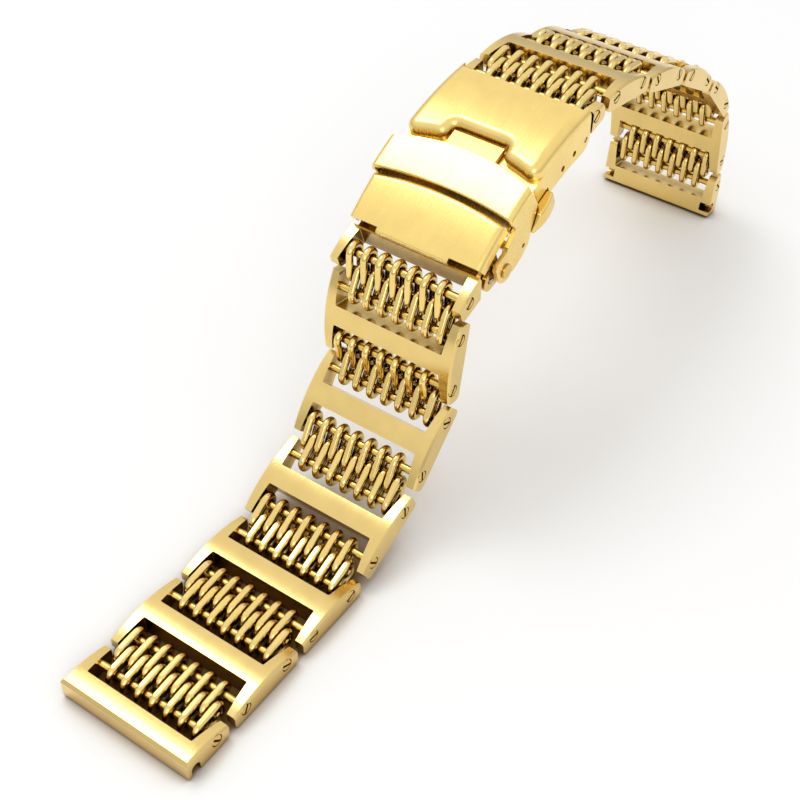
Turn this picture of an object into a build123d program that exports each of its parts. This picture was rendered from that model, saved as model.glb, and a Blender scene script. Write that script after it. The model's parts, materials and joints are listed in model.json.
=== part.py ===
from build123d import *
import os
from math import cos, degrees, hypot, radians, sin, sqrt

# A shark mesh watch bracelet with a folding clasp, draped in an arch with both ends on a table.
# Millimetres. X runs along the strap from the near case end to the far one, Y across, Z up.

# Strap
strap_width = 22.0
link_thick = 3.4
crossbar_width = 3.25
rod_offset = 4.18
rod_depth = 1.53
arm_past_rod = 2.28
arm_root = 1.9
arm_tip = 1.4
arm_drop = 1.05
link_round = 0.3
opening_round = 0.2
heel_round = 0.9

# Rods and their screw heads
rod_radius = 0.6
fit_gap = 0.03
head_gap = 0.06
head_radius = 0.88
head_height = 0.7
slot_width = 0.36
slot_depth = 0.45
rod_bevel = 0.12
middle_rod_gap = 0.25

# Rings
row_length = 2.9
wire_radius = 0.55
ring_play = 0.08
ring_pitch = 2.5
ring_count = 7
ring_slant = 3.0
ring_flat = 0.06

# Case end links
end_bar_width = 3.1
end_chamfer = 0.45
spring_bore_radius = 0.8
spring_bore_depth = 2.35
spring_bore_inset = 1.5
spring_notch_length = 2.0

# Clasp end links: the tube's place from the rod, and the shoulder that faces the clasp
tube_below = 1.75
bridge_overlap = 0.75
near_bridge_ahead = 3.0
near_tube_ahead = 5.3
near_shoulder_top = 3.3
near_shoulder_low = 2.2
far_tube_ahead = 3.15
far_shoulder_top = 0.55
far_shoulder_low = 1.58
tube_radius = 1.15
bridge_top = 0.35
spring_bar_radius = 0.6
spring_tip_radius = 0.42
near_tip_past = 0.15
far_tip_inset = 0.1

# Clasp cover, with lengths along its arc and depths below its outer face
cover_radius = 47.4
cover_rise = 2.19
cover_wall = 0.9
cover_end = 15.95
top_end = 15.0
side_depth = 6.5
side_corner = 2.2
rim_round = 1.45
front_mid = 2.4
front_side = 0.3
front_corner = 1.6
zone_at = 0.1
floor_depth = 2.0
floor_side_depth = 3.6
notch_end = 4.3
notch_half = 4.4
notch_flare = 0.7
notch_round = 0.9
low_end = 14.45
low_start_mid = 5.95
low_start_side = 7.1
low_wall = 0.8
low_depth = 0.35
low_inset = 0.05
low_side_depth = 2.4
low_round = 0.9
low_lip_round = 0.5
lip_long = 0.9
lip_half = 5.95
micro_at = 14.7
micro_pitch = 3.47
micro_count = 3
micro_depth = 4.65
micro_drop = 0.3
micro_radius = 0.45

# Safety latch
band_low_mid = 5.6
band_low_side = 6.7
band_top_mid = 1.0
band_top_side = 1.15
band_thick = 0.5
band_bevel = 0.2
band_roll = 0.9
band_skirt = 1.2
latch_side_gap = 0.08
ear_thick = 0.62
latch_at = 11.8
latch_depth = 6.18
latch_pin_radius = 0.65
latch_head_radius = 1.05
latch_head_height = 0.25
ear_end_radius = 1.9
ear_hole_at = 6.53
ear_hole_depth = 7.23
ear_hole_radius = 0.35
ear_outline_shares = [
    (-0.05, 0.62), (-0.175, 0.9), (-0.266, 1.024), (-0.323, 1.185), (-0.387, 1.28),
    (-0.58, 1.337), (-0.745, 1.283), (-0.96, 0.864), (-0.905, 0.532), (-0.854, 0.477),
    (-0.68, 0.56), (-0.642, 0.49), (-0.45, 0.395),
]
plate_thick = 0.65
plate_radius = 0.95
tab_half = 4.1
tab_to = 3.85
tab_depth = 1.1
tab_thick = 0.7
rib_count = 28
rib_groove = 0.1

# Blades and their hinge pins
pin_radius = 0.4
pin_gap = 0.05
knuckle_radius = 0.75
knuckle_half = 6.0
knuckle_gap = 0.15
cover_pin_at = 7.5
cover_pin_depth = 3.75
blade_pin_at = 4.4
blade_pin_depth = 4.4
blade_thick = 0.7
middle_half = 4.0
middle_depth = 3.4
end_depth = 4.7
end_half = 6.0
end_stop = 3.3
cross_from = 9.2
cross_to = 7.9
flange_gap = 0.15
flange_thick = 0.6
flange_low = 8.0
lug_at = 14.44
lug_depth = 5.68
lug_radius = 1.5
flange_outline_shares = [
    (-0.547, 0.588), (-0.547, 0.788), (-0.706, 1.0), (-0.9, 1.0), (-1.032, 0.888),
    (-1.0, 0.71), (-0.907, 0.662), (-0.897, 0.875), (-0.741, 0.875), (-0.637, 0.725),
    (-0.637, 0.588),
]

# Push buttons
button_at = 0.5
button_depth = 6.65
button_ahead = 2.25
button_behind = 3.75
button_tall = 2.6
button_slant_tall = 1.84
button_slant_long = 1.95
button_proud = 1.5
button_end_proud = 0.9
button_in = 9.45
button_corner = 0.45
button_edge = 0.4
button_travel = 1.0
travel_gap = 0.4
shank_long = 2.2
shank_tall = 1.1
shank_in = 4.6
housing_half = 8.2
housing_long = 5.0
housing_low = 7.9
slide_gap = 0.06
button_notch_gap = 0.2

# Rest pose: strap angles in degrees, level at 0 and rising towards +X.
# Each opening has its clasp side row, its far row and the link after them.
clasp_angle = 21.77
near_first_angle = 17.3
near_angles = [
    (84.5, 57.0, 79.0),
    (97.0, 56.0, 44.0),
    (53.0, 32.5, 25.5),
    (24.0, 13.0, 0.0),
    (0.0, 0.0, 0.0),
    (0.0, 0.0, 0.0),
]
far_first_angle = 14.1
far_angles = [
    (1.5, 4.5, -10.2),
    (-11.0, -31.0, -19.4),
    (-25.0, -27.5, -30.7),
    (-36.0, -40.0, -44.9),
    (-64.0, -69.0, -80.9),
    (-84.0, -87.0, -97.7),
]
slot_turn = 67.0
settle_rounds = 6
cut_over = 1.0
edge_reach = 0.01

arm_half = rod_offset + arm_past_rod
ring_bend = rod_radius + ring_play + wire_radius
opening_half = strap_width / 2 - arm_root
tube_depth = rod_depth + tube_below
tube_half = opening_half + bridge_overlap
far_bridge_ahead = rod_offset - crossbar_width / 2
flange_inner = tube_half + flange_gap
flange_outer = flange_inner + flange_thick
near_tip_half = flange_outer + near_tip_past
cover_half = strap_width / 2
cover_inner = cover_half - cover_wall
far_tip_half = cover_half - far_tip_inset
low_half = cover_half - low_inset
latch_half = cover_half + latch_side_gap + ear_thick
button_out = cover_half + button_proud
pocket_in = shank_in - button_travel - travel_gap
floor_low = floor_depth + cover_wall
row_y = (ring_count - 1) * ring_pitch / 2
slant_shift = row_length / 2 * sin(radians(ring_slant))


# Points in a link's own frame are (along the strap, outward), with the crown at the origin.
def along(angle):
    return Vector(cos(radians(angle)), 0, sin(radians(angle)))


def outward(angle):
    return Vector(-sin(radians(angle)), 0, cos(radians(angle)))


def spot(centre, angle, x, z):
    return centre + along(angle) * x + outward(angle) * z


def lay(shape, centre, angle):
    return Location((centre.X, centre.Y, centre.Z), (0, -angle, 0)) * shape


def side_plate(points, half):
    """A closed outline in the side view, as thick as the given half width each way."""
    face = Plane.XZ * make_face(Polyline(*points, close=True))
    return extrude(face, half, both=True)


def across(x, z, radius, low, high):
    """A round bar across the strap, from y = low to y = high."""
    bar = Plane.XZ * Pos(x, z, 0) * Circle(radius)
    return Pos(0, high, 0) * extrude(bar, high - low)


def brick(x0, x1, y0, y1, z0, z1):
    return Pos((x0 + x1) / 2, (y0 + y1) / 2, (z0 + z1) / 2) * Box(x1 - x0, y1 - y0, z1 - z0)


def both_sides(shape):
    return [shape, mirror(shape, Plane.XZ)]


# Link frames
def arched_bar(low_x, high_x):
    """The arched side profile of a link, drawn across its full width."""
    reach = arm_half
    radius = (reach**2 + arm_drop**2) / (2 * arm_drop)
    drop_low = radius - sqrt(radius**2 - low_x**2)
    drop_high = radius - sqrt(radius**2 - high_x**2)
    mid_x = (low_x + high_x) / 2
    drop_mid = radius - sqrt(radius**2 - mid_x**2)
    top = ThreePointArc((low_x, -drop_low), (mid_x, -drop_mid), (high_x, -drop_high))
    rest = Polyline((high_x, -drop_high), (high_x, -link_thick), (low_x, -link_thick), (low_x, -drop_low))
    face = Plane.XZ * make_face(top + rest)
    return extrude(face, strap_width / 2, both=True)


def opening(direction, root_x=crossbar_width / 2):
    """The gap between a link's arms, from its root out past the arm ends."""
    far_x = arm_half + cut_over
    flare = (arm_root - arm_tip) / (arm_half - root_x) * (far_x - root_x)
    outline = Polyline(
        (direction * root_x, -opening_half),
        (direction * far_x, -opening_half - flare),
        (direction * far_x, opening_half + flare),
        (direction * root_x, opening_half),
        close=True,
    )
    cut = extrude(make_face(outline), link_thick + cut_over, dir=(0, 0, -1))
    corners = cut.edges().filter_by(Axis.Z).sort_by(Axis.X)
    corners = corners[:2] if direction > 0 else corners[-2:]
    return fillet(corners, opening_round)


def heel_edges(frame, ends):
    """The underside's cross edges at the arm ends named in ends."""
    found = []
    for edge in frame.edges().filter_by(Axis.Y):
        middle = edge.center()
        at_end = any(abs(middle.X - x) < edge_reach for x in ends)
        if at_end and abs(middle.Z + link_thick) < edge_reach:
            found.append(edge)
    return found


def rod_cut(x):
    """The hole for a screwed rod, wider at the head's side."""
    half = strap_width / 2
    hole = across(x, -rod_depth, rod_radius + fit_gap, -half - cut_over, half + cut_over)
    seat = across(x, -rod_depth, head_radius + head_gap, -half - cut_over, -half + head_height)
    return hole + seat


def long_edges(frame):
    """The outer top edges of the arms, along the strap."""
    half = strap_width / 2
    found = []
    for edge in frame.edges():
        middle = edge.center()
        if abs(abs(middle.Y) - half) < edge_reach and middle.Z > -arm_drop and edge.length > arm_past_rod:
            found.append(edge)
    return found


def h_link():
    frame = arched_bar(-arm_half, arm_half) - opening(1) - opening(-1)
    frame = fillet(heel_edges(frame, [-arm_half, arm_half]), heel_round)
    frame = chamfer(long_edges(frame), link_round)
    return frame - rod_cut(rod_offset) - rod_cut(-rod_offset)


def case_end_link():
    """A link with one pair of arms, and a bar that the watch's spring bar passes through."""
    front = crossbar_width / 2 - end_bar_width
    half = strap_width / 2
    frame = arched_bar(front, arm_half) - opening(1)
    frame = fillet(heel_edges(frame, [arm_half]), heel_round)
    frame = chamfer(long_edges(frame), link_round)
    front_top = frame.edges().filter_by(Axis.Y).sort_by(Axis.X)[0:2].sort_by(Axis.Z)[-1]
    frame = chamfer(front_top, end_chamfer)
    bore_x = front + spring_bore_inset
    bore = across(bore_x, -spring_bore_depth, spring_bore_radius, -half - cut_over, half + cut_over)
    notch = brick(
        bore_x - spring_bore_radius, bore_x + spring_bore_radius,
        half - spring_notch_length, half + cut_over,
        -link_thick - cut_over, -spring_bore_depth,
    )
    return frame - bore - both_sides(notch) - rod_cut(rod_offset)


def clasp_end_link(tube_ahead, bridge_ahead, shoulder_top, shoulder_low):
    """Arms that face the strap at -X, and a narrower bridge with the tube for a spring bar."""
    rod_x = -rod_offset
    tube_x = rod_x + tube_ahead
    bridge_x = rod_x + bridge_ahead
    frame = arched_bar(-arm_half, tube_x) - opening(-1, -bridge_x)
    frame = fillet(heel_edges(frame, [-arm_half]), heel_round)
    frame = chamfer(long_edges(frame), link_round)
    beyond = side_plate(
        [
            (rod_x + shoulder_top, 0), (rod_x + shoulder_top, cut_over), (tube_x + cut_over, cut_over),
            (tube_x + cut_over, -link_thick - cut_over), (rod_x + shoulder_low, -link_thick - cut_over),
            (rod_x + shoulder_low, -link_thick),
        ],
        strap_width,
    )
    inner = brick(rod_x, tube_x, -tube_half, tube_half, -link_thick, -bridge_top)
    bridge = side_plate(
        [
            (bridge_x, -bridge_top), (tube_x - tube_radius / 2, -bridge_top),
            (tube_x + tube_radius, -tube_depth), (tube_x - tube_radius, -tube_depth),
            (bridge_x, -link_thick + heel_round),
        ],
        tube_half,
    )
    tube = across(tube_x, -tube_depth, tube_radius, -tube_half, tube_half)
    bore = across(tube_x, -tube_depth, spring_bar_radius + fit_gap, -strap_width, strap_width)
    narrow = (frame & beyond & inner) + bridge + tube
    return (frame - beyond) + narrow - bore - rod_cut(rod_x)


# Rods
def screwed_rod():
    """A rod across the strap with a slotted head, both ends flush with the link's sides."""
    half = strap_width / 2
    rod = across(0, 0, rod_radius, -half + head_height, half)
    rod = chamfer(rod.edges().filter_by(GeomType.CIRCLE).sort_by(Axis.Y)[-1], rod_bevel)
    head = across(0, 0, head_radius, -half, -half + head_height)
    head = chamfer(head.edges().filter_by(GeomType.CIRCLE).sort_by(Axis.Y)[0], rod_bevel)
    slot = brick(
        -slot_width / 2, slot_width / 2, -half - cut_over, -half + slot_depth, -head_radius, head_radius
    )
    return rod + head - slot


def middle_rod():
    half = opening_half - middle_rod_gap
    rod = across(0, 0, rod_radius, -half, half)
    return chamfer(rod.edges().filter_by(GeomType.CIRCLE), rod_bevel)


def spring_bar(half, tip_half):
    """A clasp's spring bar: a barrel with a thinner tip at each end."""
    barrel = across(0, 0, spring_bar_radius, -half, half)
    return barrel + across(0, 0, spring_tip_radius, -tip_half, tip_half)


# Rings
def ring():
    """A wire loop round two rods, ground flat on its outer face, standing on the strap's slant."""
    wire = Circle(wire_radius)
    bend = Plane.YZ * Pos(0, ring_bend, 0) * wire
    round_end = revolve(bend, Axis((0, 0, 0), (0, 1, 0)), 180)
    near_end = Pos(-row_length / 2, 0, 0) * Rot(0, 180, 0) * round_end
    far_end = Pos(row_length / 2, 0, 0) * round_end
    side = Pos(-row_length / 2, 0, ring_bend) * extrude(Plane.YZ * wire, row_length)
    other = Pos(-row_length / 2, 0, -ring_bend) * extrude(Plane.YZ * wire, row_length)
    loop = near_end + far_end + side + other
    top = ring_bend + wire_radius
    reach = row_length + top
    loop -= brick(-reach, reach, -reach, reach, top - ring_flat, top + cut_over)
    return Rot(0, 0, ring_slant) * loop


def ring_row(first_y):
    """A row of rings. The row's own frame has its origin midway between its two rods."""
    return [Pos(0, first_y - k * ring_pitch, 0) * RING for k in range(ring_count)]


RING = ring()


# Clasp
def arc_spot(arc, depth):
    """A place in the clasp's side view, from its length along the cover and its depth."""
    turn = arc / cover_radius
    reach = cover_radius - depth
    return (reach * sin(turn), reach * cos(turn) - cover_radius + cover_rise)


def curved(arc0, arc1, depth0, depth1, half):
    """A slab that follows the cover's arc."""
    middle = (arc0 + arc1) / 2
    top = ThreePointArc(arc_spot(arc0, depth0), arc_spot(middle, depth0), arc_spot(arc1, depth0))
    low = ThreePointArc(arc_spot(arc1, depth1), arc_spot(middle, depth1), arc_spot(arc0, depth1))
    ends = Line(arc_spot(arc1, depth0), arc_spot(arc1, depth1)) + Line(
        arc_spot(arc0, depth1), arc_spot(arc0, depth0)
    )
    return extrude(Plane.XZ * make_face(top + low + ends), half, both=True)


def curved_pair(arc0, arc1, depth0, depth1, y0, y1):
    """Two such slabs, one each side, from y0 out to y1."""
    slab = Pos(0, (y0 + y1) / 2, 0) * curved(arc0, arc1, depth0, depth1, (y1 - y0) / 2)
    return both_sides(slab)


def side_edges(shape, half, depth):
    """The edges along the clasp at a half width and a depth."""
    found = []
    for edge in shape.edges():
        middle = edge.center()
        reach = hypot(middle.X, middle.Z + cover_radius - cover_rise)
        at_side = abs(abs(middle.Y) - half) < edge_reach
        if at_side and abs(reach - cover_radius + depth) < edge_reach:
            found.append(edge)
    return found


def cross_edge(shape, place):
    """The edge across the clasp nearest to a place in the side view."""
    edges = shape.edges().filter_by(Axis.Y)
    return min(edges, key=lambda e: hypot(e.center().X - place[0], e.center().Z - place[1]))


def bowed_edge(shape, arc_mid, depth):
    """The edge whose middle is at a place on the clasp's centre line."""
    x, z = arc_spot(arc_mid, depth)
    return min(shape.edges(), key=lambda e: (e.center() - Vector(x, 0, z)).length)


def pin_bar(arc, depth, radius, y0, y1):
    x, z = arc_spot(arc, depth)
    return across(x, z, radius, y0, y1)


def pin_bar_pair(arc, depth, radius, y0, y1):
    return both_sides(pin_bar(arc, depth, radius, y0, y1))


def ahead(arc_mid, arc_side, half):
    """All that lies ahead of an edge bowed over the clasp's plan, as a prism wider than the clasp."""
    mid = arc_spot(arc_mid, 0)[0]
    side = arc_spot(arc_side, 0)[0]
    far = cover_end + cut_over
    wide = half + cut_over
    bow = ThreePointArc((side, -half), (mid, 0), (side, half))
    rest = Polyline((side, half), (side, wide), (far, wide), (far, -wide), (side, -wide), (side, -half))
    return extrude(make_face(bow + rest), side_depth + cover_rise, both=True)


def notch_prism(grow):
    """The finger notch's plan as a prism, with room for its wall if it is grown."""
    front_x = arc_spot(front_side, 0)[0]
    deep_x = arc_spot(notch_end, 0)[0] + grow
    mouth = notch_half + notch_flare + grow
    outline = Polyline(
        (front_x, -mouth), (deep_x, -notch_half - grow), (deep_x, notch_half + grow), (front_x, mouth),
        close=True,
    )
    prism = extrude(make_face(outline), side_depth + cover_rise, both=True)
    return fillet(prism.edges().filter_by(Axis.Z).sort_by(Axis.X)[-2:], notch_round + grow)


def rim_edges(block):
    """The dome's upper edges, round its front, its notch and both sides."""
    found = []
    for edge in block.edges():
        middle = edge.center()
        depth = cover_radius - hypot(middle.X, middle.Z + cover_radius - cover_rise)
        if abs(depth) < edge_reach and middle.X < arc_spot(cover_end - cut_over, 0)[0]:
            found.append(edge)
    return found


def dome_block():
    """The dome before it is hollowed, with its bowed front, notch and rolled rim."""
    block = curved(front_side - cut_over, cover_end, 0, side_depth, cover_half)
    block &= ahead(front_mid, front_side, cover_half)
    block -= notch_prism(0)
    block = fillet(cross_edge(block, arc_spot(cover_end, side_depth)), side_corner)
    corners = block.edges().filter_by(Axis.Z).sort_by(Axis.X)[:4]
    block = fillet(corners, front_corner)
    return fillet(rim_edges(block), rim_round)


def cover_dome():
    """The domed box over the micro holes, open below and at its far end, and the notch's floor."""
    cavity = curved(front_side, cover_end + cut_over, cover_wall, side_depth + cut_over, cover_inner)
    cavity &= ahead(front_mid + cover_wall, front_side + cover_wall, cover_half)
    notch_end_wall = notch_end + cover_wall
    cavity -= notch_prism(cover_wall) & curved(front_side, notch_end_wall, 0, floor_low, cover_half)
    dome = dome_block() - cavity
    dome += notch_prism(cover_wall) & curved(front_side, notch_end_wall, floor_depth, floor_low, cover_half)
    zone_end = front_mid + cover_wall
    zone = curved(zone_at, zone_end, floor_depth, side_depth, cover_half)
    dome += zone
    dome -= curved(zone_at - cut_over, cover_end + cut_over, floor_low, side_depth + cut_over, cover_inner)
    return dome - curved(top_end, cover_end + cut_over, -cut_over, floor_depth, cover_inner)


def low_plate():
    """The plate below the latch's band, with a bowed, rolled upper edge and a tongue at its end."""
    plate = curved(-low_end, -low_start_mid + cut_over, low_depth, low_side_depth, low_half)
    plate -= ahead(-low_start_mid, -low_start_side, low_half)
    sides = side_edges(plate, low_half, low_depth)
    plate = fillet(sides + [bowed_edge(plate, -low_start_mid, low_depth)], low_round)
    inner_half = low_half - low_wall
    inside = curved(-low_end - cut_over, -low_start_mid, low_depth + cover_wall, side_depth, inner_half)
    plate -= inside - ahead(-low_start_mid - low_wall, -low_start_side - low_wall, low_half)
    tongue = curved(-low_end - lip_long, -low_end + low_wall, low_depth, low_depth + cover_wall, lip_half)
    tongue = fillet(cross_edge(tongue, arc_spot(-low_end - lip_long, low_depth)), low_lip_round)
    riser = curved(-low_start_side - low_wall, -low_start_mid, low_side_depth - low_wall, floor_low, low_half)
    riser &= ahead(-low_start_mid - low_wall, -low_start_side - low_wall, low_half)
    return plate + tongue + (riser - ahead(-low_start_mid, -low_start_side, low_half))


def pivot_plates():
    """The plates under the low plate that carry the latch's rivets."""
    x, z = arc_spot(-latch_at, latch_depth)
    top = arc_spot(-latch_at, low_depth + cover_wall / 2)[1]
    inner = tube_half - plate_thick
    plate = brick(x - plate_radius, x + plate_radius, inner, tube_half, z, top)
    plate += across(x, z, plate_radius, inner, tube_half)
    return both_sides(plate - across(x, z, latch_pin_radius + fit_gap, inner, tube_half))


def clasp_cover():
    floor_end = zone_at + cover_wall / 2
    cover = low_plate()
    cover += curved(-low_start_mid - low_wall, floor_end, floor_depth, floor_low, cover_inner)
    cover += curved_pair(
        -low_start_side, floor_end, floor_depth, floor_side_depth, low_half - low_wall - low_inset, low_half
    )
    cover += cover_dome()
    inner = middle_half + knuckle_gap
    cover += curved_pair(
        -cover_pin_at, -low_start_mid, floor_depth, cover_pin_depth, inner, knuckle_half
    )
    cover += pin_bar_pair(-cover_pin_at, cover_pin_depth, knuckle_radius, inner, knuckle_half)
    cover += pivot_plates()
    cover -= pin_bar(-cover_pin_at, cover_pin_depth, pin_radius + fit_gap, -cover_half, cover_half)
    for k in range(micro_count):
        depth = micro_depth + k * micro_drop
        cover -= pin_bar(micro_at - k * micro_pitch, depth, micro_radius, -strap_width, strap_width)
    notch_x = button_at + button_ahead + button_notch_gap
    notch_z = cover_rise - button_depth + button_tall / 2 + button_notch_gap
    cover -= both_sides(
        brick(-notch_x, notch_x, cover_inner - slide_gap, strap_width, notch_z - side_depth, notch_z)
    )
    return cover


def cover_pins():
    """The pin of the middle blade, and the two rivets that the latch turns on."""
    inner = tube_half - plate_thick
    rivet = pin_bar(-latch_at, latch_depth, latch_pin_radius, inner, latch_half + pin_gap)
    rivet += pin_bar(
        -latch_at, latch_depth, latch_head_radius, latch_half + pin_gap,
        latch_half + pin_gap + latch_head_height,
    )
    blade_pin = pin_bar(-cover_pin_at, cover_pin_depth, pin_radius, -knuckle_half, knuckle_half)
    return [blade_pin] + both_sides(rivet)


def latch_ear():
    outline = [arc_spot(-band_top_side, band_roll)]
    outline += [arc_spot(a * low_end, d * side_depth) for a, d in ear_outline_shares]
    outline += [arc_spot(-band_low_side, band_roll)]
    face = Plane.XZ * make_face(Polyline(*outline, close=True))
    plate = Pos(0, latch_half, 0) * extrude(face, ear_thick)
    plate += pin_bar(-latch_at, latch_depth, ear_end_radius, latch_half - ear_thick, latch_half)
    plate -= pin_bar(-latch_at, latch_depth, latch_pin_radius + pin_gap, 0, strap_width)
    return plate - pin_bar(-ear_hole_at, ear_hole_depth, ear_hole_radius, 0, strap_width)


def latch_band():
    """The band over the cover, with bowed and bevelled edges, rolled down into a skirt each side."""
    low = -band_low_side - cut_over
    high = band_top_mid + cut_over
    band = curved(low, high, 0, band_skirt, latch_half)
    band = fillet(side_edges(band, latch_half, 0), band_roll)
    band &= ahead(-band_low_mid, -band_low_side, latch_half)
    band -= ahead(band_top_mid, -band_top_side, latch_half)
    for arc in [-band_low_mid, band_top_mid]:
        band = chamfer(bowed_edge(band, arc, 0), band_bevel)
    inner_half = latch_half - ear_thick
    return band - curved(low - cut_over, high + cut_over, band_thick, band_skirt + cut_over, inner_half)


def safety_latch():
    """The flap that folds over the cover: a band, two ears and a ribbed tab."""
    latch = latch_band() + both_sides(latch_ear())
    tab_from = band_top_mid - 2 * band_bevel - tab_thick
    riser = curved(
        tab_from, tab_from + tab_thick, band_thick / 2, tab_depth + tab_thick, tab_half
    )
    tab = curved(tab_from, tab_to, tab_depth, tab_depth + tab_thick, tab_half)
    rib = 2 * tab_half / rib_count
    top = tab_depth + rib_groove
    for k in range(1, rib_count):
        groove = curved(band_top_mid, tab_to + cut_over, tab_depth - cut_over, top, rib_groove / 2)
        tab -= Pos(0, k * rib - tab_half, 0) * groove
    return latch + riser + tab


def middle_blade():
    blade = curved(-cover_pin_at, blade_pin_at, middle_depth, middle_depth + blade_thick, middle_half)
    ends = [(-cover_pin_at, cover_pin_depth), (blade_pin_at, blade_pin_depth)]
    for arc, depth in ends:
        blade += pin_bar(arc, depth, knuckle_radius, -middle_half, middle_half)
    for arc, depth in ends:
        blade -= pin_bar(arc, depth, pin_radius + pin_gap, -strap_width, strap_width)
    return blade


def flange():
    """One side of the end blade, down under the latch's rivet and up to the lug."""
    outline = [arc_spot(a * lug_at, d * flange_low) for a, d in flange_outline_shares]
    face = Plane.XZ * make_face(Polyline(*outline, close=True))
    plate = Pos(0, flange_outer, 0) * extrude(face, flange_outer - flange_inner)
    plate += pin_bar(-lug_at, lug_depth, lug_radius, flange_inner, flange_outer)
    return plate - pin_bar(-lug_at, lug_depth, spring_tip_radius + fit_gap, 0, strap_width)


def button_housing():
    z = cover_rise - button_depth
    x0 = button_at - housing_long / 2
    x1 = button_at + housing_long / 2
    top = cover_rise - end_depth - blade_thick / 2
    house = brick(x0, x1, -housing_half, housing_half, cover_rise - housing_low, top)
    half_long = shank_long / 2 + slide_gap
    half_tall = shank_tall / 2 + slide_gap
    pocket = brick(
        button_at - half_long, button_at + half_long, pocket_in, strap_width, z - half_tall, z + half_tall
    )
    return house - both_sides(pocket)


def end_blade():
    low = end_depth + blade_thick
    blade = curved(-cross_from, end_stop, end_depth, low, end_half)
    blade += curved(-cross_from, -cross_to, end_depth, low, flange_outer)
    inner = middle_half + knuckle_gap
    blade += curved_pair(end_stop - knuckle_radius, blade_pin_at, end_depth, low, inner, end_half)
    blade += pin_bar_pair(blade_pin_at, blade_pin_depth, knuckle_radius, inner, knuckle_half)
    blade += both_sides(flange())
    blade += button_housing()
    return blade - pin_bar(blade_pin_at, blade_pin_depth, pin_radius + fit_gap, -end_half, end_half)


def blade_pin():
    return pin_bar(blade_pin_at, blade_pin_depth, pin_radius, -knuckle_half, knuckle_half)


def push_button():
    """The button on the +Y side."""
    z = cover_rise - button_depth
    tall = button_tall / 2
    low_x = button_at - button_behind
    high_x = button_at + button_ahead
    side_view = side_plate(
        [
            (high_x, z + tall), (low_x + button_slant_long, z + tall), (low_x, z + tall - button_slant_tall),
            (low_x, z - tall), (high_x, z - tall),
        ],
        strap_width,
    )
    side_view = fillet(side_view.edges().filter_by(Axis.Y), button_corner)
    end_y = cover_half + button_end_proud
    bow = ThreePointArc((low_x, end_y), ((low_x + high_x) / 2, button_out), (high_x, end_y))
    back = Polyline((high_x, end_y), (high_x, button_in), (low_x, button_in), (low_x, end_y))
    head = side_view & extrude(make_face(bow + back), side_depth * 2, both=True)
    head = fillet(head.faces().sort_by(Axis.Y)[-1].edges(), button_edge)
    shank = brick(
        button_at - shank_long / 2, button_at + shank_long / 2, shank_in, button_in,
        z - shank_tall / 2, z + shank_tall / 2,
    )
    return head + shank


# Places in the rest pose, worked out from the clasp's chord midpoint at the origin
def half_walk(start, first_angle, angles, side):
    """Places of one half's links and ring rows, out from the clasp: side is -1 near, 1 far."""
    links = [(start, first_angle)]
    rows = []
    rod = spot(start, first_angle, side * rod_offset, -rod_depth)
    for close, beyond, link in angles:
        middle = rod + along(close) * (side * row_length)
        rows.append(((rod + middle) / 2, close))
        next_rod = middle + along(beyond) * (side * row_length)
        rows.append(((middle + next_rod) / 2, beyond))
        centre = spot(next_rod, link, side * rod_offset, rod_depth)
        links.append((centre, link))
        rod = spot(centre, link, side * rod_offset, -rod_depth)
    return links, rows


def clasp_spot(arc, depth):
    x, z = arc_spot(arc, depth)
    return spot(Vector(0, 0, 0), clasp_angle, x, z)


def near_walk():
    tube_x = near_tube_ahead - rod_offset
    start = spot(clasp_spot(-lug_at, lug_depth), near_first_angle, -tube_x, tube_depth)
    return half_walk(start, near_first_angle, near_angles, -1)


def far_walk(settle):
    """The far half, turned about its spring bar by the settle angle."""
    tube_x = rod_offset - far_tube_ahead
    first = far_first_angle + settle
    start = spot(clasp_spot(micro_at, micro_depth), first, -tube_x, tube_depth)
    turned = [tuple(angle + settle for angle in row) for row in far_angles]
    return half_walk(start, first, turned, 1)


CASE_END = case_end_link()
FAR_CASE_END = mirror(CASE_END, Plane.YZ)


def settled_walk(floor):
    """The far half turned so that its case end rests at the floor's height."""
    settle = 0
    for _ in range(settle_rounds):
        links, rows = far_walk(settle)
        centre, angle = links[-1]
        low = lay(FAR_CASE_END, centre, angle).bounding_box().min.Z
        lever = centre.X - clasp_spot(micro_at, micro_depth).X
        settle -= degrees((low - floor) / lever)
    return far_walk(settle)


NEAR = near_walk()
FLOOR = NEAR[0][-1][0].Z - link_thick
FAR = settled_walk(FLOOR)


# Nodes
def lay_all(shapes, centre, angle):
    return [lay(shape, centre, angle) for shape in shapes]


def rod_in_link(x, turn):
    return Pos(x, 0, -rod_depth) * Rot(0, turn, 0) * SCREWED_ROD


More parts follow.
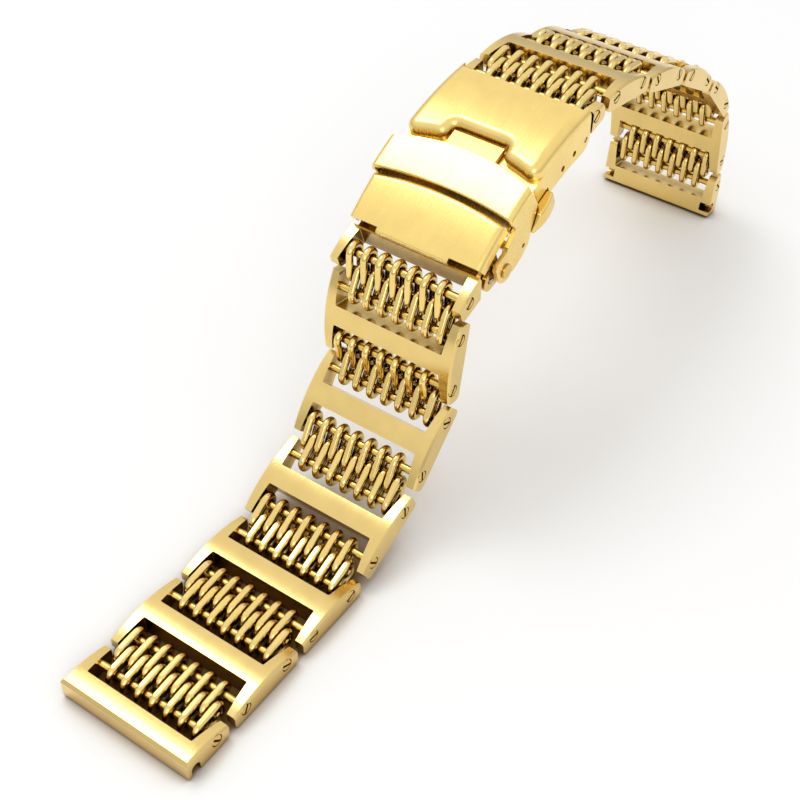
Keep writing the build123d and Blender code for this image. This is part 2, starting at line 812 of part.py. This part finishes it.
def half_nodes(name, walk, side, clasp_link, tube_ahead, tip_half):
    """The links, rods and ring rows of one half, keyed by node name."""
    nodes = {}
    links, rows = walk
    last = len(links) - 1
    case_end = CASE_END if side < 0 else FAR_CASE_END
    for k, (centre, angle) in enumerate(links):
        label = f"{name}_link_{k}"
        shape = H_LINK
        turn = slot_turn * k * side
        rods = [rod_in_link(-rod_offset, turn), rod_in_link(rod_offset, 2 * turn + slot_turn)]
        if k == 0:
            label = f"{name}_clasp_link"
            shape = clasp_link
            bar_x = side * (rod_offset - tube_ahead)
            bar = Pos(bar_x, 0, -tube_depth) * spring_bar(tube_half, tip_half)
            rods = [rod_in_link(side * rod_offset, turn + slot_turn), bar]
        if k == last:
            label = f"{name}_case_link"
            shape = case_end
            rods = [rod_in_link(-side * rod_offset, turn)]
        nodes[label] = lay_all([shape], centre, angle)
        nodes[label + "_rods"] = lay_all(rods, centre, angle)
    for k, (centre, angle) in enumerate(rows):
        clasp_side = k % 2 == 0
        high = clasp_side == (side < 0)
        first_y = row_y + ring_pitch / 4 if high else row_y - ring_pitch / 4
        shapes = ring_row(first_y + (slant_shift if high else -slant_shift))
        if clasp_side:
            shapes.append(Pos(side * row_length / 2, 0, 0) * MIDDLE_ROD)
        letter = "a" if clasp_side else "b"
        nodes[f"{name}_rings_{k // 2 + 1}{letter}"] = lay_all(shapes, centre, angle)
    return nodes


def clasp_nodes():
    button = push_button()
    shapes = {
        "clasp_cover": [clasp_cover()],
        "cover_pins": cover_pins(),
        "safety_latch": [safety_latch()],
        "middle_blade": [middle_blade()],
        "end_blade": [end_blade()],
        "blade_pin": [blade_pin()],
        "push_button_left": [button],
        "push_button_right": [mirror(button, Plane.XZ)],
    }
    return {name: lay_all(group, Vector(0, 0, 0), clasp_angle) for name, group in shapes.items()}


H_LINK = h_link()
SCREWED_ROD = screwed_rod()
MIDDLE_ROD = middle_rod()
NEAR_CLASP = clasp_end_link(near_tube_ahead, near_bridge_ahead, near_shoulder_top, near_shoulder_low)
FAR_CLASP = mirror(
    clasp_end_link(far_tube_ahead, far_bridge_ahead, far_shoulder_top, far_shoulder_low), Plane.YZ
)


def all_nodes():
    nodes = clasp_nodes()
    nodes.update(half_nodes("near", NEAR, -1, NEAR_CLASP, near_tube_ahead, near_tip_half))
    nodes.update(half_nodes("far", FAR, 1, FAR_CLASP, far_tube_ahead, far_tip_half))
    return nodes


def move_to_floor(nodes):
    """How far the whole part moves to stand centred on the origin."""
    boxes = [shape.bounding_box() for group in nodes.values() for shape in group]
    low = min(box.min.X for box in boxes)
    high = max(box.max.X for box in boxes)
    return Vector(-(low + high) / 2, 0, -FLOOR)


def write_parts():
    os.makedirs("parts", exist_ok=True)
    nodes = all_nodes()
    shift = move_to_floor(nodes)
    for name, shapes in nodes.items():
        whole = shapes[0] if len(shapes) == 1 else Compound(children=shapes)
        export_step(Pos(shift.X, shift.Y, shift.Z) * whole, f"parts/{name}.step")


write_parts()
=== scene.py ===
import json
import math

import bpy
from mathutils import Matrix, Vector


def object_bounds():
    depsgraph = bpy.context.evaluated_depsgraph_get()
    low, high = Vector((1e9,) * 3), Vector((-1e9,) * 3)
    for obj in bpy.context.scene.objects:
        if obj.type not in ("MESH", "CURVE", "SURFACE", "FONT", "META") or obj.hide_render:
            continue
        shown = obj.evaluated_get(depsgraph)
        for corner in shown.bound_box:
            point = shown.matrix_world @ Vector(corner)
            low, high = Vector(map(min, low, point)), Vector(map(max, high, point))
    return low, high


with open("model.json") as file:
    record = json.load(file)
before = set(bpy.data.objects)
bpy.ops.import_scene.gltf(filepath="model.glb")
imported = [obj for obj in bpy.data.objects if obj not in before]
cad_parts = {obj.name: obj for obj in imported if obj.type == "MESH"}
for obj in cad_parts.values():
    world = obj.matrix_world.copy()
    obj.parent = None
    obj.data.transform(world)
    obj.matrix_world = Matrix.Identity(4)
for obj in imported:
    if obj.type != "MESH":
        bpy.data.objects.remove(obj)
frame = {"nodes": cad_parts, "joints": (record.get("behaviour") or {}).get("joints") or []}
cad_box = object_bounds()

# A watch bracelet of H-shaped steel links joined by rows of wire rings, with a folding clasp.
# It is of stainless steel, plated gold colour by vapour deposition, but for two bare spring bars.
# It stands on its case ends. The CAD solids carry the shapes; this file gives each its finish.

# Camera: it looks down on the bracelet from its near end and one side.
# Its place and turn were fitted to the photograph, measured from the clasp's middle.
clasp_middle = Vector((0.002767, 0.0, 0.045362))
camera_from_clasp = Vector((-0.1372, -0.08634, 0.111))
camera_right = Vector((0.58, -0.81461, 0.0))
camera_up = Vector((0.56662, 0.40343, 0.71846))
camera_lens_mm = 62.73
camera_sensor_mm = 36.0
camera_clip_start = 0.01

camera_data = bpy.data.cameras.new("camera")
camera_data.lens = camera_lens_mm
camera_data.sensor_width = camera_sensor_mm
camera_data.clip_start = camera_clip_start
camera = bpy.data.objects.new("camera", camera_data)
bpy.context.scene.collection.objects.link(camera)
camera_back = camera_right.cross(camera_up)
turn = Matrix((camera_right, camera_up, camera_back)).transposed().to_4x4()
camera.matrix_world = Matrix.Translation(clasp_middle + camera_from_clasp) @ turn
bpy.context.scene.camera = camera
bpy.context.scene.view_settings.view_transform = "Standard"


# Table: a plain white matt board under the bracelet, wide enough to fill a view from above.
# Close under the metal, where the room's light is shut out, an ambient-occlusion mask paints it
# brown: painted shade, tinted with the gold's colour as a painted reflection.
# It isn't centred, so that the seam between its two triangles lies away from the bracelet.
def linear(hex_colour):
    """An sRGB hex colour as the linear RGBA that the shaders take."""
    shares = [int(hex_colour[k:k + 2], 16) / 255 for k in (1, 3, 5)]
    return (*(s / 12.92 if s <= 0.04045 else ((s + 0.055) / 1.055) ** 2.4 for s in shares), 1.0)


def add_node(tree, kind, settings, links):
    """Adds a node. settings are its inputs or properties, links its inputs from other outputs."""
    made = tree.nodes.new(kind)
    for name, value in settings.items():
        if isinstance(name, int) or name in made.inputs:
            made.inputs[name].default_value = value
        else:
            setattr(made, name, value)
    for name, output in links.items():
        tree.links.new(output, made.inputs[name])
    return made


table_x = (-1.5, 1.5)
table_y = (-1.0, 2.4)
table_white = "#F6F6F6"
table_shade = "#80602E"
table_shade_reach = 0.009
table_shade_from = 0.25
table_shade_to = 0.8
table_shade_samples = 12
table_gap = 0.0002

table_matt = bpy.data.materials.new("table_white_board")
table_matt.use_nodes = True
tree = table_matt.node_tree
tree.nodes.clear()
# Painted shade: the mask below mixes the board's colour towards the brown shade colour near the metal.
closed_in = add_node(
    tree, "ShaderNodeAmbientOcclusion",
    {"samples": table_shade_samples, "Distance": table_shade_reach}, {},
)
open_share = add_node(
    tree, "ShaderNodeMapRange", {"From Min": table_shade_from, "From Max": table_shade_to},
    {"Value": closed_in.outputs["AO"]},
)
board_colour = add_node(
    tree, "ShaderNodeMix", {"data_type": "RGBA", 6: linear(table_shade), 7: linear(table_white)},
    {0: open_share.outputs["Result"]},
)
board = add_node(tree, "ShaderNodeBsdfDiffuse", {}, {"Color": board_colour.outputs[2]})
add_node(tree, "ShaderNodeOutputMaterial", {}, {"Surface": board.outputs["BSDF"]})

table_mesh = bpy.data.meshes.new("table_top")
table_mesh.from_pydata(
    [(table_x[0], table_y[0], 0), (table_x[1], table_y[0], 0),
     (table_x[1], table_y[1], 0), (table_x[0], table_y[1], 0)],
    [], [(0, 1, 2, 3)],
)
table_top = bpy.data.objects.new("table_top", table_mesh)
table_top.data.materials.append(table_matt)
table_top.location.z = cad_box[0][2] - table_gap
bpy.context.scene.collection.objects.link(table_top)

# Light: a level white room whose walls are darker than its ceiling, with a soft lamp overhead
# and a weaker one in front. The polished metal shows the walls and lamps; the table is evenly lit.
room_light = 0.85
ceiling_white = 0.97
wall_grey = 0.6
wall_foot = 0.02
wall_top = 0.62

world = bpy.data.worlds.new("white_room")
bpy.context.scene.world = world
world.use_nodes = True
tree = world.node_tree
tree.nodes.clear()
ray = add_node(tree, "ShaderNodeLightPath", {}, {})
seen = add_node(
    tree, "ShaderNodeMath", {"operation": "MAXIMUM"},
    {0: ray.outputs["Is Camera Ray"], 1: ray.outputs["Is Glossy Ray"]},
)
seen_all = add_node(
    tree, "ShaderNodeMath", {"operation": "MAXIMUM"},
    {0: seen.outputs["Value"], 1: ray.outputs["Is Transmission Ray"]},
)
way = add_node(tree, "ShaderNodeTexCoord", {}, {})
way_parts = add_node(tree, "ShaderNodeSeparateXYZ", {}, {"Vector": way.outputs["Generated"]})
upward = add_node(
    tree, "ShaderNodeMapRange",
    {"interpolation_type": "SMOOTHSTEP", "From Min": wall_foot, "From Max": wall_top,
     "To Min": wall_grey, "To Max": ceiling_white},
    {"Value": way_parts.outputs["Z"]},
)
room = add_node(tree, "ShaderNodeBackground", {"Color": (1, 1, 1, 1), "Strength": room_light}, {})
backdrop = add_node(
    tree, "ShaderNodeBackground", {"Color": (1, 1, 1, 1)}, {"Strength": upward.outputs["Result"]}
)
both = add_node(
    tree, "ShaderNodeMixShader", {},
    {0: seen_all.outputs["Value"], 1: room.outputs["Background"], 2: backdrop.outputs["Background"]},
)
add_node(tree, "ShaderNodeOutputWorld", {}, {"Surface": both.outputs["Shader"]})

# Each lamp: its name, place, the side of its square face, and its power in watts.
lamps = [
    ("overhead_lamp", (0.04, 0.27, 0.6), 0.25, 0.88),
    ("front_lamp", (-0.45, -0.35, 0.35), 0.3, 0.75),
]
for name, place, size, power in lamps:
    lamp_data = bpy.data.lights.new(name, "AREA")
    lamp_data.size = size
    lamp_data.energy = power
    lamp = bpy.data.objects.new(name, lamp_data)
    lamp.location = place
    aim = clasp_middle - Vector(place)
    lamp.rotation_euler = aim.to_track_quat("-Z", "Y").to_euler()
    bpy.context.scene.collection.objects.link(lamp)


# Link frames: stamped and milled H-shaped plates of stainless steel with a gold coating.
# Their tops are finely brushed along the strap, and their side faces polished.
def to_nodes(names, material):
    for name in names:
        node = frame["nodes"][name]
        node.data.materials.clear()
        node.data.materials.append(material)


# How every finish draws its brush lines, its faint clouds and its painted shade in crevices.
line_stretch = 0.04
line_detail = 3.0
line_break = 0.6
line_depth_share = 0.25
line_gloss = (-0.03, 0.04)
cloud_scale = 260.0
cloud_detail = 2.0
cloud_tone = (0.95, 1.03)
noise_range = (0.3, 0.7)
side_turn = (0.55, 0.75)
crevice_range = (0.2, 0.72)
crevice_samples = 8


def brushed_metal(name, colour, crevice_shade, crevice_reach, satin, polish, line_strength, spacing):
    """Steel with fine brush lines along the strap, spacing metres apart.

    satin is its roughness, and polish that of faces turned sideways, or None where they are satin
    too. Within crevice_reach of other metal an ambient-occlusion mask mixes the colour towards the
    crevice colour: painted shade, also standing in for the dark reflection of gold in gold.
    """
    material = bpy.data.materials.new(name)
    material.use_nodes = True
    tree = material.node_tree
    tree.nodes.clear()
    place = add_node(tree, "ShaderNodeTexCoord", {}, {})
    stretch = add_node(
        tree, "ShaderNodeMapping",
        {"Scale": (line_stretch / spacing, 1 / spacing, line_stretch / spacing)},
        {"Vector": place.outputs["Object"]},
    )
    lines = add_node(
        tree, "ShaderNodeTexNoise", {"Scale": 1.0, "Detail": line_detail, "Roughness": line_break},
        {"Vector": stretch.outputs["Vector"]},
    )
    cloud = add_node(
        tree, "ShaderNodeTexNoise", {"Scale": cloud_scale, "Detail": cloud_detail},
        {"Vector": place.outputs["Object"]},
    )
    rough = add_node(
        tree, "ShaderNodeMapRange",
        {"From Min": noise_range[0], "From Max": noise_range[1],
         "To Min": satin + line_gloss[0], "To Max": satin + line_gloss[1]},
        {"Value": lines.outputs["Fac"]},
    )
    gloss = rough.outputs["Result"]
    if polish is not None:
        normal = add_node(tree, "ShaderNodeNewGeometry", {}, {})
        split = add_node(tree, "ShaderNodeSeparateXYZ", {}, {"Vector": normal.outputs["Normal"]})
        sideways = add_node(tree, "ShaderNodeMath", {"operation": "ABSOLUTE"}, {0: split.outputs["Y"]})
        side = add_node(
            tree, "ShaderNodeMapRange", {"From Min": side_turn[0], "From Max": side_turn[1]},
            {"Value": sideways.outputs["Value"]},
        )
        finish = add_node(
            tree, "ShaderNodeMix", {"data_type": "FLOAT", "B": polish},
            {"Factor": side.outputs["Result"], "A": gloss},
        )
        gloss = finish.outputs["Result"]
    tone = add_node(
        tree, "ShaderNodeMapRange",
        {"From Min": noise_range[0], "From Max": noise_range[1],
         "To Min": cloud_tone[0], "To Max": cloud_tone[1]},
        {"Value": cloud.outputs["Fac"]},
    )
    tint = add_node(
        tree, "ShaderNodeVectorMath", {"operation": "SCALE", 0: linear(colour)[:3]},
        {"Scale": tone.outputs["Result"]},
    )
    # Painted shade: an ambient-occlusion mask darkens the colour near other metal, a painted dark
    # reflection too.
    closed_in = add_node(
        tree, "ShaderNodeAmbientOcclusion", {"samples": crevice_samples, "Distance": crevice_reach}, {}
    )
    open_share = add_node(
        tree, "ShaderNodeMapRange", {"From Min": crevice_range[0], "From Max": crevice_range[1]},
        {"Value": closed_in.outputs["AO"]},
    )
    shaded = add_node(
        tree, "ShaderNodeMix", {"data_type": "RGBA", 6: linear(crevice_shade)},
        {0: open_share.outputs["Result"], 7: tint.outputs["Vector"]},
    )
    bump = add_node(
        tree, "ShaderNodeBump", {"Strength": line_strength, "Distance": spacing * line_depth_share},
        {"Height": lines.outputs["Fac"]},
    )
    metal = add_node(
        tree, "ShaderNodeBsdfPrincipled", {"Metallic": 1.0},
        {"Base Color": shaded.outputs[2], "Roughness": gloss,
         "Normal": bump.outputs["Normal"]},
    )
    add_node(tree, "ShaderNodeOutputMaterial", {}, {"Surface": metal.outputs["BSDF"]})
    return material


brush_spacing = 0.00016
frame_gold = "#EACC82"
# Its crevice colour is painted shade and painted dark reflection; the clasp links, rings and blades
# take it too.
frame_crevice_shade = "#5A380C"
frame_crevice_reach = 0.0028
frame_satin = 0.18
frame_polish = 0.14
frame_line_strength = 0.02

frame_finish = brushed_metal(
    "plated_steel_satin_frames", frame_gold, frame_crevice_shade, frame_crevice_reach,
    frame_satin, frame_polish, frame_line_strength, brush_spacing,
)
link_frames = [n for n in frame["nodes"] if "_link" in n and not n.endswith("_rods")]
to_nodes(link_frames, frame_finish)

# The clasp's two end links: the same plated steel. Their cross walls stand close under the clasp's
# lips and between its ears, so the painted crevice shade reaches farther on them, as a painted
# dark-gold reflection.
clasp_link_painted_shade_reach = 0.006
clasp_link_satin = 0.17

clasp_link_finish = brushed_metal(
    "plated_steel_clasp_end_links", frame_gold, frame_crevice_shade, clasp_link_painted_shade_reach,
    clasp_link_satin, frame_polish, frame_line_strength, brush_spacing,
)
to_nodes(["near_clasp_link", "far_clasp_link"], clasp_link_finish)

# Screwed rods: turned steel with slotted heads flush in the frames' sides, plated like them.
# They are polished, and the heads' slots are milled.
rod_gold = "#E9C66C"
# Its crevice colour is painted shade, darkest in the heads' slots and close round the rods.
rod_crevice_shade = "#1E1204"
rod_crevice_reach = 0.0006
rod_satin = 0.22
rod_polish = 0.2
rod_line_strength = 0.04

rod_finish = brushed_metal(
    "plated_steel_turned_rods", rod_gold, rod_crevice_shade, rod_crevice_reach,
    rod_satin, rod_polish, rod_line_strength, brush_spacing,
)
rods = [n for n in frame["nodes"] if n.endswith("_rods")]
to_nodes(rods, rod_finish)

# Spring bars of the clasp: plain steel without the gold, held by the clasp end links.
# Their grey ends show in the cover's first micro hole and in the end blade's lug. They share a
# node with those links' screwed rods, so the faces near the bar's own axis take the steel.
bar_steel = "#A9A7A2"
# Its crevice colour is painted shade near other metal.
bar_crevice_shade = "#2A2722"
bar_crevice_reach = 0.0004
bar_reach = 0.0007
bar_joints = {
    "near_clasp_link_rods": "near_clasp_link_turn",
    "far_clasp_link_rods": "far_clasp_link_turn",
}

bar_finish = brushed_metal(
    "bare_steel_spring_bars", bar_steel, bar_crevice_shade, bar_crevice_reach,
    rod_satin, rod_polish, rod_line_strength, brush_spacing,
)
for node_name, joint_name in bar_joints.items():
    mesh = frame["nodes"][node_name].data
    mesh.materials.append(bar_finish)
    axis = next(joint["pos_m"] for joint in frame["joints"] if joint["name"] == joint_name)
    for face in mesh.polygons:
        if math.hypot(face.center.x - axis[0], face.center.z - axis[2]) < bar_reach:
            face.material_index = 1

# Rings: loops of drawn steel wire, closed round two rods and ground flat on the outside.
# The wire is polished, and its flats are left a little satin by the grinding.
ring_gold = "#F3D688"
ring_crevice_reach = 0.0018
ring_satin = 0.13
ring_polish = 0.1
ring_line_strength = 0.02

ring_finish = brushed_metal(
    "plated_steel_drawn_wire", ring_gold, frame_crevice_shade, ring_crevice_reach,
    ring_satin, ring_polish, ring_line_strength, brush_spacing,
)
rings = [n for n in frame["nodes"] if "_rings_" in n]
to_nodes(rings, ring_finish)

# Clasp cover and latch: pressed from plated sheet, satin all over, with fine lines along the strap.
cover_gold = "#F8D985"
# Its crevice colour is painted shade in the steps, notch and holes; the buttons take it too.
cover_crevice_shade = "#B98A2E"
cover_crevice_reach = 0.001
cover_satin = 0.27
cover_line_strength = 0.03
cover_brush_spacing = 0.00013

cover_finish = brushed_metal(
    "plated_steel_brushed_cover", cover_gold, cover_crevice_shade, cover_crevice_reach,
    cover_satin, None, cover_line_strength, cover_brush_spacing,
)
to_nodes(["clasp_cover", "safety_latch"], cover_finish)

# Blades, hinge pins and rivets: the folding inside of the clasp, of the same plated steel.
blade_gold = "#E6C26C"
blade_crevice_reach = 0.0018
blade_satin = 0.26
blade_polish = 0.2
blade_line_strength = 0.08

blade_finish = brushed_metal(
    "plated_steel_blades", blade_gold, frame_crevice_shade, blade_crevice_reach,
    blade_satin, blade_polish, blade_line_strength, brush_spacing,
)
to_nodes(["middle_blade", "end_blade", "blade_pin", "cover_pins"], blade_finish)

# Push buttons: milled and polished steel, plated like the rest.
button_gold = "#F0CF7A"
button_crevice_reach = 0.001
button_satin = 0.14
button_polish = 0.1
button_line_strength = 0.02

button_finish = brushed_metal(
    "plated_steel_polished_buttons", button_gold, cover_crevice_shade, button_crevice_reach,
    button_satin, button_polish, button_line_strength, brush_spacing,
)
to_nodes(["push_button_left", "push_button_right"], button_finish)
